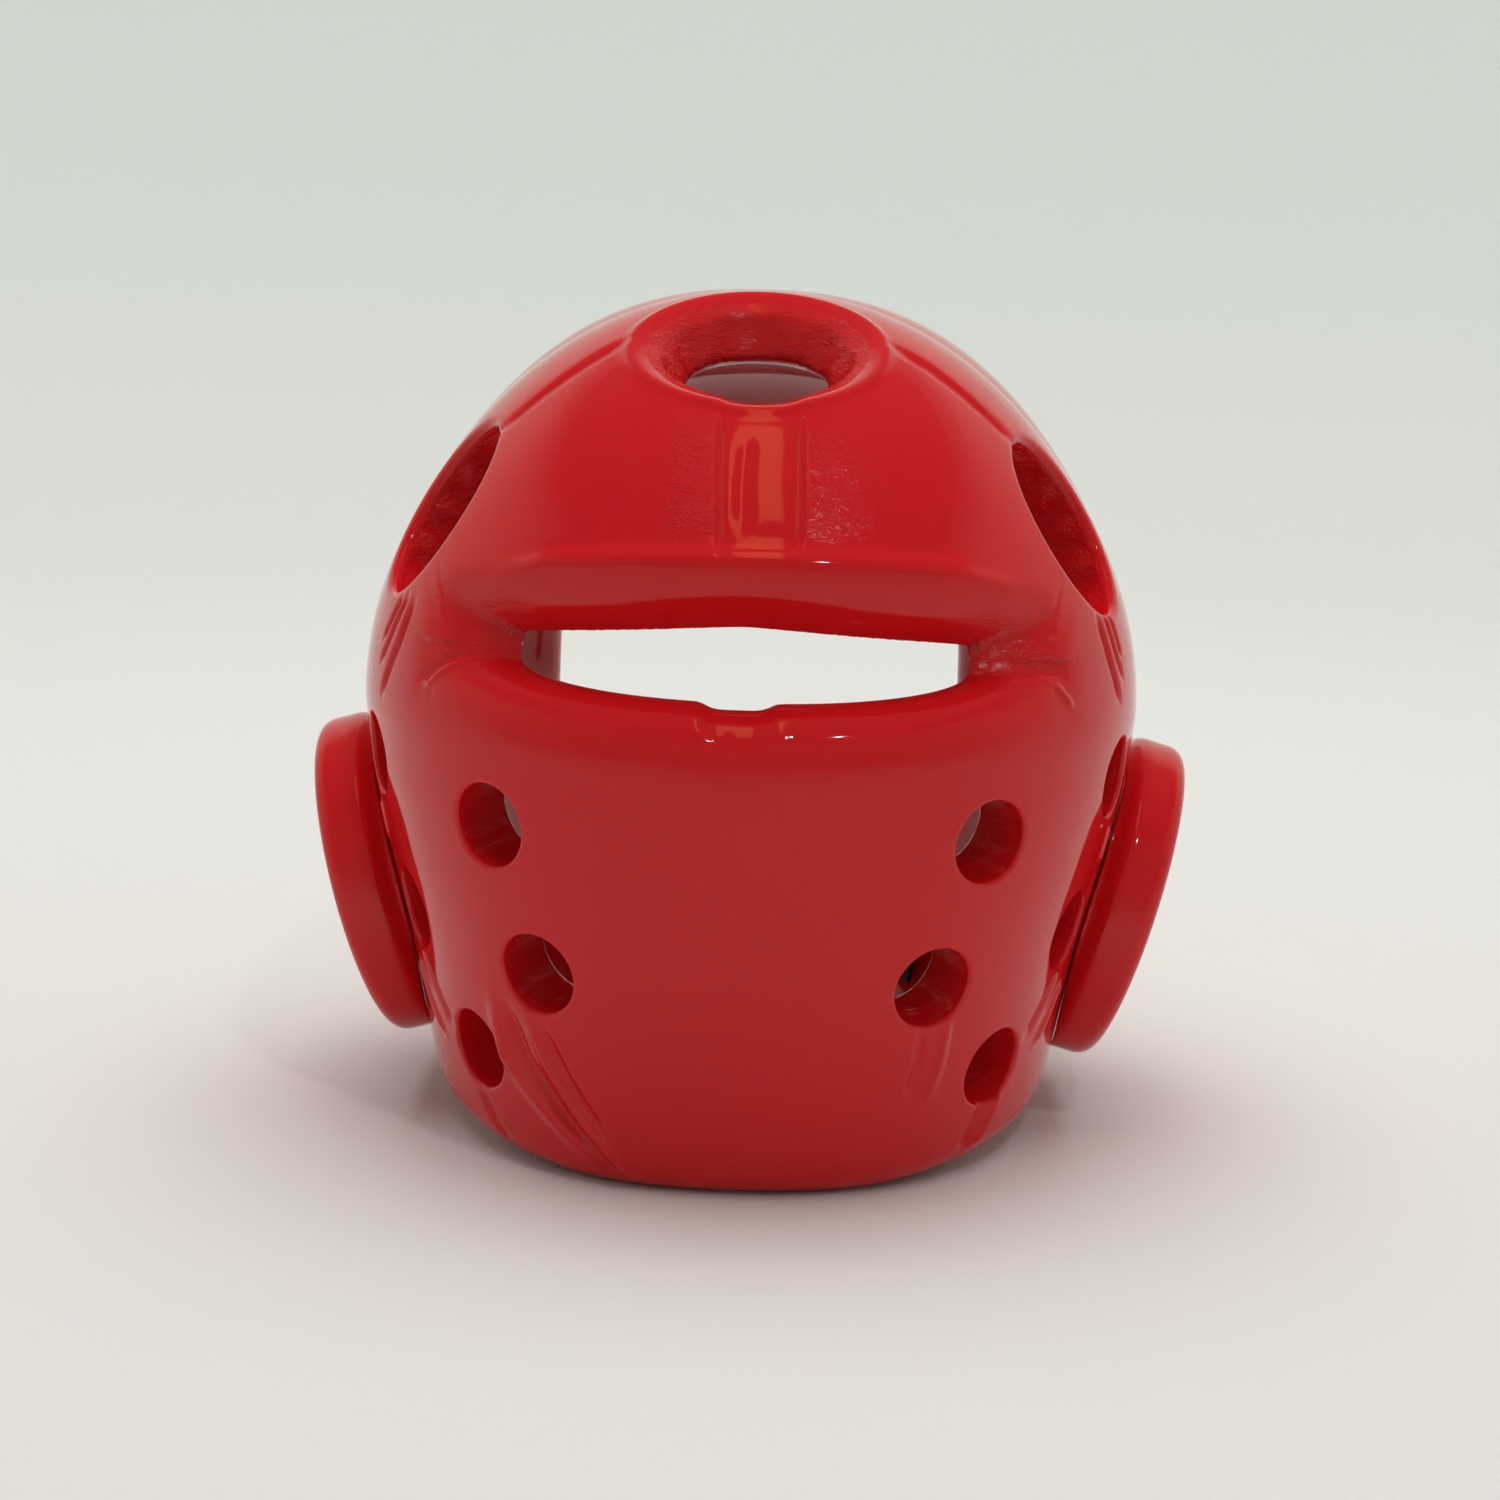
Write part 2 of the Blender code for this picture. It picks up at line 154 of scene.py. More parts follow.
# How softly two faces meet along an edge: the distance over which they blend
RIM_BLEND = 0.009
FACE_BLEND = 0.011
HOLE_BLEND = 0.0016
CROWN_BLEND = 0.0070
CROWN_BEAD = 0.0011
VENT_BLEND = 0.0035
UPPER_LIP_BLEND = 0.0045
LOWER_LIP_BLEND = 0.007
EAR_BLEND = 0.003
CUP_BLEND = 0.0055

# Folds and seams of the skin, mirrored only where both sides are listed
FOLDS = (
    # half-width, depth (a groove is above 0, a bead below it), reach under the skin, route as azimuth and height
    # seams beside the spine, from the crown hole to the slot
    (0.0009, 0.0008, 0.004, ((-5.1, 0.868), (-4.3, 0.823), (-3.6, 0.773), (-3.0, 0.727))),
    (0.0009, 0.0008, 0.004, ((8.2, 0.868), (7.5, 0.826), (6.8, 0.765), (6.3, 0.733))),
    (0.0022, 0.0004, 0.004, ((-0.6, 0.845), (-0.8, 0.800), (-0.5, 0.755))),
    # ridge over the upper lip
    (0.0036, -0.0014, 0.006, ((-42.0, 0.650), (-37.0, 0.684), (-29.0, 0.708), (-15.0, 0.718), (2.0, 0.722),
                              (16.0, 0.720), (29.0, 0.714), (39.0, 0.692), (45.0, 0.655))),
    # rolled bead along the lower lip
    (0.0026, -0.0009, 0.016, ((-33.0, 0.580), (-24.0, 0.557), (-14.0, 0.545), (-6.5, 0.541))),
    (0.0026, -0.0009, 0.016, ((7.5, 0.541), (15.0, 0.546), (25.0, 0.558), (34.0, 0.578))),
    # pinched corners of the slot
    (0.0013, 0.0026, 0.016, ((-27.0, 0.629), (-33.6, 0.623), (-38.2, 0.614), (-45.0, 0.598))),
    (0.0011, 0.0022, 0.016, ((-29.0, 0.645), (-34.0, 0.640), (-39.0, 0.633), (-45.5, 0.615))),
    (0.0009, 0.0014, 0.016, ((-34.0, 0.658), (-39.5, 0.644), (-44.0, 0.628))),
    (0.0009, 0.0012, 0.016, ((-33.0, 0.612), (-38.5, 0.606), (-44.0, 0.594))),
    (0.0012, -0.0009, 0.006, ((-41.0, 0.606), (-44.5, 0.585), (-48.0, 0.560))),
    (0.0010, 0.0009, 0.006, ((-43.5, 0.606), (-47.0, 0.583), (-50.0, 0.564))),
    (0.0013, 0.0026, 0.016, ((29.5, 0.630), (37.5, 0.623), (44.0, 0.612), (49.0, 0.594))),
    (0.0011, 0.0020, 0.016, ((32.0, 0.644), (39.0, 0.638), (44.5, 0.624), (49.0, 0.604))),
    (0.0009, 0.0014, 0.016, ((39.0, 0.657), (44.5, 0.642), (48.0, 0.622))),
    (0.0009, 0.0012, 0.016, ((36.0, 0.610), (42.0, 0.604), (47.0, 0.592))),
    (0.0012, -0.0009, 0.006, ((44.0, 0.604), (47.5, 0.582), (50.0, 0.558))),
    # beads under the slot's notch
    (0.0020, -0.0018, 0.010, ((-3.6, 0.549), (-3.3, 0.531))),
    (0.0020, -0.0018, 0.010, ((4.6, 0.554), (4.3, 0.535))),
    (0.0045, -0.0010, 0.006, ((-1.5, 0.522), (2.5, 0.520))),
    # joints between the nape and the side panels
    (0.0015, 0.0017, 0.005, ((-56.6, 0.644), (-58.0, 0.600), (-62.4, 0.537))),
    (0.0012, 0.0013, 0.005, ((-59.4, 0.648), (-62.0, 0.600), (-64.5, 0.570))),
    (0.0011, 0.0011, 0.005, ((-61.5, 0.645), (-65.0, 0.596))),
    (0.0015, 0.0017, 0.005, ((61.5, 0.646), (62.9, 0.599), (65.7, 0.551))),
    (0.0012, 0.0013, 0.005, ((64.5, 0.648), (66.0, 0.604), (68.0, 0.575))),
    (0.0011, 0.0011, 0.005, ((67.0, 0.645), (68.5, 0.600))),
    (0.0024, 0.0012, 0.005, ((-58.5, 0.835), (-55.0, 0.865), (-51.0, 0.895), (-47.0, 0.920), (-42.0, 0.942))),
    (0.0024, 0.0012, 0.005, ((61.0, 0.838), (57.5, 0.868), (54.0, 0.897), (50.0, 0.922), (44.0, 0.943))),
    # drips and sags of the dipped skin below the vents
    (0.0026, -0.0014, 0.005, ((-39.0, 0.208), (-38.0, 0.140), (-30.2, 0.086), (-21.4, 0.033))),
    (0.0019, 0.0015, 0.005, ((-35.5, 0.206), (-32.8, 0.145), (-25.6, 0.078), (-17.5, 0.020))),
    (0.0021, -0.0014, 0.005, ((-31.6, 0.204), (-28.2, 0.144), (-21.6, 0.070), (-14.0, 0.010))),
    (0.0018, 0.0010, 0.005, ((-28.8, 0.190), (-25.0, 0.130), (-19.0, 0.062))),
    (0.0018, 0.0010, 0.005, ((-47.0, 0.082), (-44.5, 0.050), (-42.0, 0.022))),
    (0.0017, -0.0011, 0.005, ((32.2, 0.212), (32.2, 0.162), (31.0, 0.113))),
    (0.0018, 0.0015, 0.005, ((46.0, 0.095), (44.1, 0.066), (42.5, 0.034))),
    (0.0016, -0.0012, 0.005, ((49.8, 0.100), (48.0, 0.066), (45.8, 0.034))),
    (0.0015, 0.0009, 0.005, ((27.5, 0.200), (28.0, 0.160), (27.0, 0.120))),
    (0.0020, -0.0010, 0.005, ((-70.0, 0.400), (-68.5, 0.350))),
    (0.0020, -0.0010, 0.005, ((70.0, 0.398), (68.5, 0.350))),
    (0.0020, 0.0014, 0.005, ((-63.0, 0.225), (-59.0, 0.185), (-54.0, 0.150))),
    (0.0016, -0.0012, 0.005, ((-66.0, 0.215), (-63.0, 0.170), (-58.0, 0.130))),
    (0.0020, 0.0014, 0.005, ((63.0, 0.225), (59.0, 0.190), (55.0, 0.160))),
    (0.0016, -0.0012, 0.005, ((66.0, 0.215), (63.0, 0.175), (59.0, 0.140))),
    # faint spine of the nape
    (0.0030, -0.0004, 0.005, ((1.3, 0.486), (1.3, 0.409), (1.2, 0.295), (1.1, 0.199))),
)

# Fineness of the padded pieces
SKIN_VOXEL = 0.0015
CUP_VOXEL = 0.0013

SIDES = (("left", -1), ("right", 1))


def soft_max(first, second, blend):
    """Larger of two distances, with the edge between them rounded over a blend distance."""
    near = np.maximum(blend - np.abs(first - second), 0.0) / blend
    return np.maximum(first, second) + near * near * blend / 4.0


def smooth_table(places, values, samples=241, reach=13):
    """Function that reads a table on a smooth curve in place of straight lines."""
    grid = np.linspace(places[0], places[-1], samples)
    line = np.interp(grid, places, values)
    window = np.hanning(2 * reach + 1)
    padded = np.concatenate((np.full(reach, line[0]), line, np.full(reach, line[-1])))
    line = np.convolve(padded, window / window.sum(), mode="valid")
    return lambda place: np.interp(place, grid, line)


WIDTH_SHARE = smooth_table(LOWER_SECTIONS[:, 0], LOWER_SECTIONS[:, 1])
NAPE_SHARE = smooth_table(LOWER_SECTIONS[:, 0], LOWER_SECTIONS[:, 2])
FACE_SHARE = smooth_table(LOWER_SECTIONS[:, 0], LOWER_SECTIONS[:, 3])
RIM_SHARE = smooth_table(RIM_SECTIONS[:, 0], RIM_SECTIONS[:, 1])
FACE_HALF = smooth_table(FACE_OUTLINE[:, 0], FACE_OUTLINE[:, 1], reach=9)


def split(points):
    """The three coordinates of points in the shell's own frame, whose widest section is at Y = 0."""
    return points[:, 0], points[:, 1] - NAPE_SHIFT, points[:, 2]


def skin_distance(points):
    """Distance outside the shell's outer skin."""
    x, y, z = split(points)
    share = np.clip(z / WIDEST, 0.0, 1.0)
    half_width = SHELL_WIDTH / 2 * WIDTH_SHARE(share)
    reach = SHELL_DEPTH / 2 * np.where(y < 0, NAPE_SHARE(share), FACE_SHARE(share))
    wide = np.abs(x) / half_width
    deep = np.abs(y) / reach
    around = np.maximum((wide ** PLAN_POWER + deep ** PLAN_POWER) ** (1 / PLAN_POWER), 1e-6)
    wall = (around - 1.0) / around * np.hypot(x, y)
    rise = np.maximum((z - WIDEST) / DOME_RISE, 0.0)
    facing = np.where(y > 0, (deep / around) ** (PLAN_POWER / 2), 0.0)
    power = 2.0 + BROW_FULLNESS * facing
    radius = np.maximum((around ** power + rise ** power) ** (1 / power), 1e-6)
    double = 2.0 * (rise / radius) ** (power / 2) * (around / radius) ** (power / 2)
    pulled = around / (1.0 - SHOULDER_PULL * (1.0 - facing) * double ** 2)
    radius = np.maximum((pulled ** power + rise ** power) ** (1 / power), 1e-6)
    dome = (radius - 1.0) / radius * np.sqrt(x * x + y * y + np.maximum(z - WIDEST, 0.0) ** 2)
    return np.where(z > WIDEST, dome, wall)


def azimuth_of(points):
    """Azimuth in degrees, as the sections are drawn, from 0 at the nape to 180 at the face."""
    x, y, _ = split(points)
    across = (np.abs(x) / (SHELL_WIDTH / 2)) ** (PLAN_POWER / 2)
    along = np.sign(-y) * (np.abs(y) / (SHELL_DEPTH / 2)) ** (PLAN_POWER / 2)
    return np.degrees(np.arctan2(across, along))


def signed_power(value, power):
    return math.copysign(abs(value) ** power, value)


def skin_place(azimuth, height):
    """Point of the outer skin at an azimuth and height, searched for outwards from the middle."""
    angle = math.radians(azimuth)
    across = signed_power(math.sin(angle), 2 / PLAN_POWER) * SHELL_WIDTH
    along = -signed_power(math.cos(angle), 2 / PLAN_POWER) * SHELL_DEPTH
    low, high = 0.0, 1.0
    for _ in range(30):
        middle = (low + high) / 2
        if skin_distance(np.array([[across * middle, along * middle + NAPE_SHIFT, height]]))[0] > 0:
            high = middle
        else:
            low = middle
    return np.array((across * low, along * low + NAPE_SHIFT, height))


def skin_normal(place):
    steps = np.eye(3) * 1e-4
    slope = skin_distance(place + steps) - skin_distance(place - steps)
    return slope / np.linalg.norm(slope)


def along_and_aside(points, place, axis):
    """Distance along an axis and square off it."""
    away = points - place
    along = away @ axis
    return along, np.sqrt(np.maximum((away * away).sum(1) - along * along, 0.0))


def hole_distance(points, place, axis, radius):
    """Distance inside a round hole of one wall. It is open outwards and ends in the hollow."""
    along, aside = along_and_aside(points, place, axis)
    return np.maximum(aside - radius, -along - 2.5 * WALL)


def hole_frame(azimuth, height):
    place = skin_place(azimuth, height * SHELL_HEIGHT)
    return place, skin_normal(place)


NAPE_FRAMES = [hole_frame(side * azimuth, height) for azimuth, height in NAPE_HOLES for _, side in SIDES]

def within_wall(points):
    """1 halfway through the shell's wall, fading to 0 towards its outer skin and its lining."""
    depth = -skin_distance(points)
    return np.clip((depth - 0.004) / 0.004, 0.0, 1.0) * np.clip((WALL - 0.002 - depth) / 0.004, 0.0, 1.0)


LEAN = math.radians(CROWN_HOLE_LEAN)
CROWN_AXIS = np.array((0.0, -math.sin(LEAN), math.cos(LEAN)))
CROWN_PLACE = np.array((
    0.0,
    NAPE_SHIFT - SHELL_DEPTH / 2 * math.sin(LEAN),
    WIDEST + DOME_RISE * math.cos(LEAN),
))


def crown_distance(points):
    """Distance inside the crown's funnel, whose rim dips a little at the spine."""
    along, aside = along_and_aside(points, CROWN_PLACE, CROWN_AXIS)
    x, y, _ = split(points)
    dip = CROWN_NOTCH_DEPTH * np.exp(-((x - 0.002) / CROWN_NOTCH_WIDTH) ** 6) * (y < CROWN_PLACE[1])
    turn = np.arctan2(x, CROWN_PLACE[1] - y)
    folds = 0.0007 * within_wall(points) * np.sin(turn * 7.0 + 0.8 + np.sin(3.0 * turn))
    depths = (-CROWN_FUNNEL_DEPTH - 0.010, -CROWN_FUNNEL_DEPTH, -0.008, -0.0045, 0.0, 0.010)
    flare = CROWN_HOLE_RADIUS - CROWN_HOLE_INNER_RADIUS
    shares = np.array((0.0, 0.04, 0.45, 0.72, 1.0, 1.1))
    radius = np.interp(along, depths, CROWN_HOLE_INNER_RADIUS + flare * shares)
    return (aside - radius - dip + folds) * 0.8


def vent_frame(side):
    place, normal = hole_frame(side * SIDE_VENT_AZIMUTH, SIDE_VENT_HEIGHT)
    across = np.array((-normal[1], normal[0], 0.0))
    across /= np.linalg.norm(across)
    return place, normal, across, np.cross(normal, across)


VENT_FRAMES = {side: vent_frame(side) for _, side in SIDES}


def vent_distance(points, side):
    """Distance inside one side vent, an oval cut along the skin's normal, with a creased wall."""
    place, normal, across, upward = VENT_FRAMES[side]
    away = points - place
    wide = away @ across / (SIDE_VENT_WIDTH / 2)
    high = away @ upward / (SIDE_VENT_LENGTH / 2)
    along = away @ normal
    radius = np.maximum(np.hypot(wide, high), 1e-6)
    turn = np.arctan2(high, wide)
    creases = 0.0007 * within_wall(points) * np.sin(9.0 * turn + 3.0 * np.sin(2.0 * turn) + side)
    return np.maximum((radius - 1.0) * SIDE_VENT_WIDTH / 2 + creases, -along - 2.5 * WALL)


def lens_edge(x, reach, height, power, roof):
    """Height of the lens over its middle line at X, and how far its slope stretches distances."""
    inside = np.clip(1.0 - (x / reach) ** 2, 1e-4, 1.0)
    height = height * (1.0 - roof * np.sqrt(x * x + 0.004 ** 2) / reach)
    edge = height * inside ** power
    slope = 2.0 * np.abs(x) / reach ** 2 * height * power * inside ** (power - 1.0)
    return edge, np.sqrt(1.0 + np.minimum(slope, 3.0) ** 2)


def slot_distance(points, depth):
    """Distances inside the rear slot, over its upper and its lower lip."""
    x, y, z = split(points)
    share = np.clip(1.0 - depth / LIP_DEPTH, 0.0, 1.5)
    roll = 1.0 - np.sqrt(np.clip(1.0 - np.minimum(share, 1.0) ** 2, 0.0, 1.0)) + np.maximum(share - 1.0, 0.0)
    reach = SLOT_WIDTH / 2 + LIP_SIDE * share
    level = SLOT_HEIGHT * SHELL_HEIGHT
    top_power = SLOT_TOP_POWER + (LIP_TOP_POWER - SLOT_TOP_POWER) * share
    bottom_power = SLOT_BOTTOM_POWER + (LIP_BOTTOM_POWER - SLOT_BOTTOM_POWER) * share
    roof = SLOT_ROOF * np.clip(1.0 - share, 0.0, 1.0)
    rise, rise_stretch = lens_edge(x, reach, SLOT_RISE + LIP_RISE * share, top_power, roof)
    fall, fall_stretch = lens_edge(x, reach, SLOT_FALL + LIP_FALL * roll, bottom_power, 0.0)
    fall = fall + SLOT_NOTCH_DEPTH * np.exp(-((x + 0.001) / SLOT_NOTCH_HALF) ** 6)
    side = np.maximum(np.abs(x) - reach, y + 0.02)
    return np.maximum((z - level - rise) / rise_stretch, side), np.maximum((level - fall - z) / fall_stretch, side)


def face_distance(points):
    """Distance inside the open face, which flares through the wall."""
    x, y, z = split(points)
    edge = SHELL_DEPTH / 2 * 0.94
    grow = FACE_FLARE * np.clip((y - edge + 2 * WALL) / (2 * WALL), 0.0, 1.2)
    half = FACE_WIDTH / 2 * FACE_HALF(np.clip(z / BROW_HEIGHT, -0.12, 1.04)) + grow
    top = BROW_HEIGHT + grow / 4
    return np.maximum(soft_max((np.abs(x) - half) * 0.9, z - top, 0.02), 0.03 - y)


def cup_frame(side):
    place = skin_place(side * CUP_AZIMUTH, CUP_HEIGHT * SHELL_HEIGHT)
    tilt = math.radians(CUP_TILT)
    axis = np.array((side * math.cos(tilt), 0.0, -math.sin(tilt)))
    return place + axis * CUP_STAND, axis


CUP_FRAMES = {side: cup_frame(side) for _, side in SIDES}


def fold_route(half_width, depth, reach, route):
    """A fold's route as points in space with the skin's normals between them, and the box around it."""
    corners = []
    for (azimuth_a, height_a), (azimuth_b, height_b) in zip(route, route[1:]):
        for share in (0.0, 0.5):
            azimuth = azimuth_a + (azimuth_b - azimuth_a) * share
            height = height_a + (height_b - height_a) * share
            corners.append(skin_place(azimuth, height * SHELL_HEIGHT))
    corners.append(skin_place(route[-1][0], route[-1][1] * SHELL_HEIGHT))
    corners = np.array(corners)
    normals = np.array([skin_normal((start + end) / 2) for start, end in zip(corners, corners[1:])])
    margin = 3.0 * half_width + reach
    return half_width, depth, reach, corners, normals, corners.min(0) - margin, corners.max(0) + margin


FOLD_ROUTES = [fold_route(*fold) for fold in FOLDS]


def near_route(points, corners, normals):
    """Distance to a route as seen square to the skin, and the share of its length reached."""
    best = np.full(len(points), 1.0)
    reached = np.zeros(len(points))
    lengths = np.linalg.norm(np.diff(corners, axis=0), axis=1)
    starts = np.concatenate(([0.0], np.cumsum(lengths))) / lengths.sum()
    for index, (start, end) in enumerate(zip(corners, corners[1:])):
        away = points - start
        away = away - (away @ normals[index])[:, None] * normals[index]
        line = end - start
        share = np.clip(away @ line / (line @ line), 0.0, 1.0)
        distance = np.linalg.norm(away - share[:, None] * line, axis=1)
        closer = distance < best
        best = np.where(closer, distance, best)
        reached = np.where(closer, starts[index] + share * (starts[index + 1] - starts[index]), reached)
    return best, reached


def fold_depth(points, skin):
    """How far the folds press the skin in at each point."""
    pressed = np.zeros(len(points))
    for half_width, depth, reach, corners, normals, low, high in FOLD_ROUTES:
        inside = (points > low) & (points < high)
        near = np.nonzero(inside.all(1) & (skin > -reach) & (skin < 0.004))[0]
        if len(near):
            distance, reached = near_route(points[near], corners, normals)
            fade = np.clip(np.minimum(reached, 1.0 - reached) * 5.0 + 0.25, 0.0, 1.0)
            pressed[near] += depth * fade * np.exp(-((distance / half_width) ** 2))
    return pressed


def carve_near(form, points, place, reach, blend, cutter):
    """Cuts one opening out of a form, at the points near it only."""
    near = np.nonzero(((points - place) ** 2).sum(1) < reach * reach)[0]
    if len(near):
        form[near] = soft_max(form[near], -cutter(points[near]), blend)
    return form


def shell_form(points):
    """Distance outside the whole shell, with every opening cut and every edge rounded."""
    _, y, z = split(points)
    skin = skin_distance(points)
    outer = skin + fold_depth(points, skin)
    around_crown = np.nonzero((np.abs(skin) < 0.006) & (((points - CROWN_PLACE) ** 2).sum(1) < 0.055 ** 2))[0]
    gap = crown_distance(points[around_crown])
    outer[around_crown] -= CROWN_BEAD * np.exp(-(((gap - 0.0030) / 0.0026) ** 2))
    form = np.maximum(outer, -skin - WALL)
    rim = RIM_LIFT * RIM_SHARE(azimuth_of(points))
    form = soft_max(form, rim - z, RIM_BLEND)
    form = soft_max(form, -face_distance(points), FACE_BLEND)
    upper, lower = slot_distance(points, -skin)
    blend = np.where(z > SLOT_HEIGHT * SHELL_HEIGHT, UPPER_LIP_BLEND, LOWER_LIP_BLEND)
    form = soft_max(form, -soft_max(upper, lower, 0.002), blend)
    form = carve_near(form, points, CROWN_PLACE, 0.06, CROWN_BLEND, crown_distance)
    for _, side in SIDES:
        place, axis = CUP_FRAMES[side]
        form = carve_near(form, points, VENT_FRAMES[side][0], 0.06, VENT_BLEND,
                          lambda near, side=side: vent_distance(near, side))
        form = carve_near(form, points, place, 0.05, EAR_BLEND,
                          lambda near, place=place, axis=axis: hole_distance(near, place, axis, EAR_HOLE_RADIUS))
    for place, normal in NAPE_FRAMES:
        form = carve_near(form, points, place, 0.035, HOLE_BLEND,
                          lambda near, place=place, axis=normal: hole_distance(near, place, axis, NAPE_HOLE_RADIUS))
    return form


def cup_form(points, side):
    """Distance outside one ear cup: a drum on a narrower neck, dished outside, seated on the shell."""
    along, aside = along_and_aside(points, *CUP_FRAMES[side])
    drum = soft_max(aside - CUP_RADIUS, along - CUP_THICKNESS, CUP_BLEND)
    drum = soft_max(drum, -along, 0.005)
    neck = np.maximum(aside - CUP_RADIUS + CUP_NECK_INSET, along - 0.006)
    form = -soft_max(-drum, -neck, 0.003)
    dish = np.hypot(aside / CUP_DISH_RADIUS, (along - CUP_THICKNESS) / CUP_DISH) - 1.0
    form = soft_max(form, -dish * CUP_DISH, 0.005)
    form = soft_max(form, EAR_HOLE_RADIUS - aside, EAR_BLEND)
    return soft_max(form, SEAT_GAP - skin_distance(points), 0.0006)


def slopes(form, points, step=1.5e-4):
    """Gradient of a form at points."""
    columns = []
    for axis in range(3):
        shift = np.zeros(3)
        shift[axis] = step
        columns.append((form(points + shift) - form(points - shift)) / (2 * step))
    return np.stack(columns, 1)


def unit(vectors):
    return vectors / np.maximum(np.linalg.norm(vectors, axis=1, keepdims=True), 1e-9)


def draw_onto(form, points, rounds, limit=0.0015):
    """Moves points along the form's slope until they lie on its surface, and gives its normals there."""
    for _ in range(rounds):
        height = form(points)
        slope = np.stack([(form(points + shift) - height) / 1e-4 for shift in np.eye(3) * 1e-4], 1)
        strength = np.maximum((slope * slope).sum(1, keepdims=True), 0.05)
        move = slope * height[:, None] / strength
        length = np.linalg.norm(move, axis=1, keepdims=True)
        points = points - move * np.minimum(1.0, limit / np.maximum(length, 1e-9))
    return points, unit(slope)


def relax(form, points, edges, rounds):
    """Evens out the skin's mesh without leaving the form's surface."""
    count = len(points)
    degree = np.bincount(edges.ravel(), minlength=count)[:, None]
    points, normal = draw_onto(form, points, 1)
    for _ in range(rounds):
        total = np.zeros_like(points)
        for axis in range(3):
            total[:, axis] += np.bincount(edges[:, 0], points[edges[:, 1], axis], count)
            total[:, axis] += np.bincount(edges[:, 1], points[edges[:, 0], axis], count)
        drift = total / degree - points
        drift -= normal * (drift * normal).sum(1, keepdims=True)
        points, normal = draw_onto(form, points + 0.6 * drift, 1)
    return points


def only(piece):
    """Leaves one piece selected and active."""
    bpy.ops.object.select_all(action="DESELECT")
    piece.select_set(True)
    bpy.context.view_layer.objects.active = piece


def apply_modifiers(piece):
    only(piece)
    for modifier in list(piece.modifiers):
        bpy.ops.object.modifier_apply(modifier=modifier.name)


def read_points(mesh):
    points = np.empty(3 * len(mesh.vertices))
    mesh.vertices.foreach_get("co", points)
    return points.reshape(-1, 3)


def write_points(mesh, points):
    mesh.vertices.foreach_set("co", points.ravel())
    mesh.update()


def refine(piece, wanted):
    """Splits the faces whose middle is wanted into four."""
    data = bmesh.new()
    data.from_mesh(piece.data)
    middles = np.array([face.calc_center_median() for face in data.faces])
    marks = wanted(middles)
    edges = {edge for face, mark in zip(data.faces, marks) if mark for edge in face.edges}
    bmesh.ops.subdivide_edges(data, edges=list(edges), cuts=1, use_grid_fill=True)
    bmesh.ops.triangulate(data, faces=[face for face in data.faces if len(face.verts) > 4])
    data.to_mesh(piece.data)
    data.free()


def near_crisp_edges(points):
    """Where the shell's skin needs finer faces: at the rims of its openings and along its narrow folds."""
    skin = skin_distance(points)
    marks = np.zeros(len(points), dtype=bool)
    for place, normal in NAPE_FRAMES:
        marks |= np.abs(hole_distance(points, place, normal, NAPE_HOLE_RADIUS)) < 0.0026
    for _, side in SIDES:
        marks |= np.abs(vent_distance(points, side)) < 0.004
    marks |= np.abs(crown_distance(points)) < 0.005
    marks &= (skin > -0.004) & (skin < 0.003)
    upper, lower = slot_distance(points, -skin)
    marks |= (np.abs(np.maximum(upper, lower)) < 0.003) & (np.abs(skin + WALL - 0.001) < 0.004)
    for half_width, _, reach, corners, normals, low, high in FOLD_ROUTES:
        near = np.nonzero(((points > low) & (points < high)).all(1) & (skin > -reach) & (skin < 0.004))[0]
        if len(near) and half_width < 0.0021:
            marks[near] |= near_route(points[near], corners, normals)[0] < 1.6 * half_width + 0.0006
    return marks


def near_cup_edges(points, side):
    """Where an ear cup's skin needs finer faces: along its neck and round its dish."""
    along, aside = along_and_aside(points, *CUP_FRAMES[side])
    neck = (aside > CUP_RADIUS - 0.008) & (along < 0.005)
    dish = (np.abs(aside - CUP_DISH_RADIUS) < 0.003) & (along > CUP_THICKNESS - 0.003)
    hole = (np.abs(aside - EAR_HOLE_RADIUS) < 0.003) & (along > 0.006)
    return neck | dish | hole


def padded_piece(name, node, form, voxel, crisp=None, levels=0):
    """Fine skin over a solid, drawn onto a form, with the form's own normals for clean reflections."""
    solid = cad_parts[node]
    piece = bpy.data.objects.new(name, solid.data.copy())
    bpy.context.scene.collection.objects.link(piece)
    only(piece)
    bpy.ops.object.mode_set(mode="EDIT")
    bpy.ops.mesh.select_all(action="SELECT")
    bpy.ops.mesh.remove_doubles(threshold=1e-6)
    bpy.ops.object.mode_set(mode="OBJECT")
    remesh = piece.modifiers.new("fine skin", "REMESH")
    remesh.mode = "VOXEL"
    remesh.voxel_size = voxel
    apply_modifiers(piece)
    write_points(piece.data, draw_onto(form, read_points(piece.data), 4)[0])
    for _ in range(levels):
        refine(piece, crisp)
    mesh = piece.data
    edges = np.empty(2 * len(mesh.edges), dtype=np.int64)
    mesh.edges.foreach_get("vertices", edges)
    points = relax(form, read_points(mesh), edges.reshape(-1, 2), 5)
    points, _ = draw_onto(form, points, 2, limit=0.0008)
    write_points(mesh, points)
    mesh.shade_smooth()
    mesh.normals_split_custom_set_from_vertices(unit(slopes(form, points, step=2.5e-4)).tolist())
    return piece


def mark_wrinkles(piece, amount):
    """Keeps on each point how strongly the dipped skin is wrinkled there."""
    attribute = piece.data.attributes.new("wrinkled", "FLOAT", "POINT")
    attribute.data.foreach_set("value", amount.astype(np.float32))


def spread(value, low, high, soft):
    """1 between two limits, fading to 0 outside them."""
    rising = np.clip((value - low) / soft + 0.5, 0.0, 1.0)
    falling = np.clip((high - value) / soft + 0.5, 0.0, 1.0)
    return rising * falling


